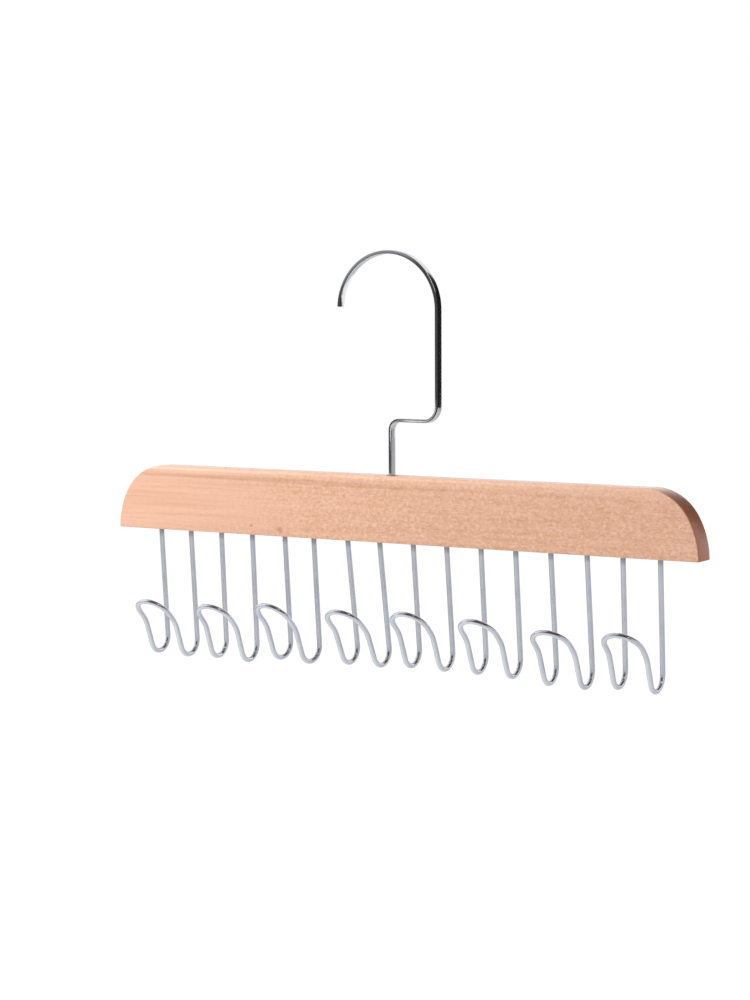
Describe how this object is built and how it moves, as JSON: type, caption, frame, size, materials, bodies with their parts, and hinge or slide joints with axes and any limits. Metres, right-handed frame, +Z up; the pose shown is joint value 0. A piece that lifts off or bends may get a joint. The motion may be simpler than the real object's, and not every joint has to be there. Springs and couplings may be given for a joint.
{
  "type": "tie hanger",
  "caption": "Wooden bar with rounded ends under a flat steel swivel hook, with a row of bent wire hooks below for ties, belts or straps.",
  "frame": {"origin": "the seat on the rail: the top of the inside of the hook's arch", "axes": "+Z up, as the swivel axis is, +X along the bar, -Y to the front, the side that the wire hooks open to"},
  "size_m": [0.28, 0.0309, 0.1776],
  "materials": {
    "wood": "fine sanded beech under a thin clear satin lacquer",
    "hook_steel": "polished chrome plated flat wire",
    "wire_steel": "bright zinc plated round wire",
    "bush_brass": "turned",
    "fastener_steel": "zinc plated"
  },
  "bodies": {
    "hook": {"swivel_hook": "hook_steel", "thrust_washer": "fastener_steel", "lock_nut": "fastener_steel"},
    "bar": {"wood_bar": "wood", "swivel_bush": "bush_brass", "wire_hook_1": "wire_steel", "wire_hook_2": "wire_steel", "wire_hook_3": "wire_steel", "wire_hook_4": "wire_steel", "wire_hook_5": "wire_steel", "wire_hook_6": "wire_steel", "wire_hook_7": "wire_steel", "wire_hook_8": "wire_steel"}
  },
  "joints": [
    {"name": "hook_swivel", "type": "hinge", "parent": "hook", "child": "bar", "pos_m": [0.0013, 0, -0.1038], "axis": [0, 0, 1], "continuous": true}
  ]
}
